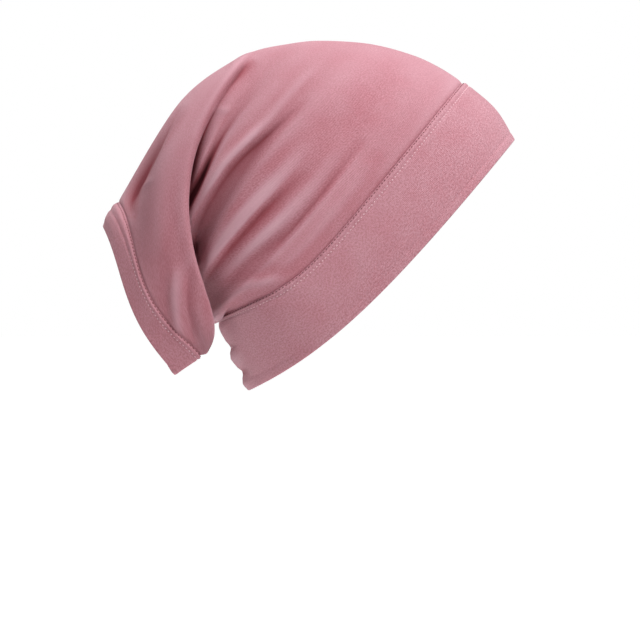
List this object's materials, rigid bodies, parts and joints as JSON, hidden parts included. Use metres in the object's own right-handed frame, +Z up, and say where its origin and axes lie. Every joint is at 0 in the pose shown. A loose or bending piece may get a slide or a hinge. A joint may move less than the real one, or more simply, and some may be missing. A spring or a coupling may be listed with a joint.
{
  "type": "jersey under-cap",
  "caption": "Worn jersey tube cap with a wide folded face band, gathered behind the neck into an open banded tail.",
  "frame": {"origin": "where the inside of the crown rests on the top of the head (mount head_seat)", "axes": "+X the way the wearer looks, +Y the wearer's left, +Z up"},
  "size_m": [0.2554, 0.158, 0.2162],
  "materials": {
    "band_jersey": "matte fine knit, folded double",
    "tube_jersey": "matte fine knit"
  },
  "bodies": {
    "root": {"front_band": "band_jersey", "crown_tube": "tube_jersey", "tail_band": "band_jersey"}
  },
  "joints": []
}
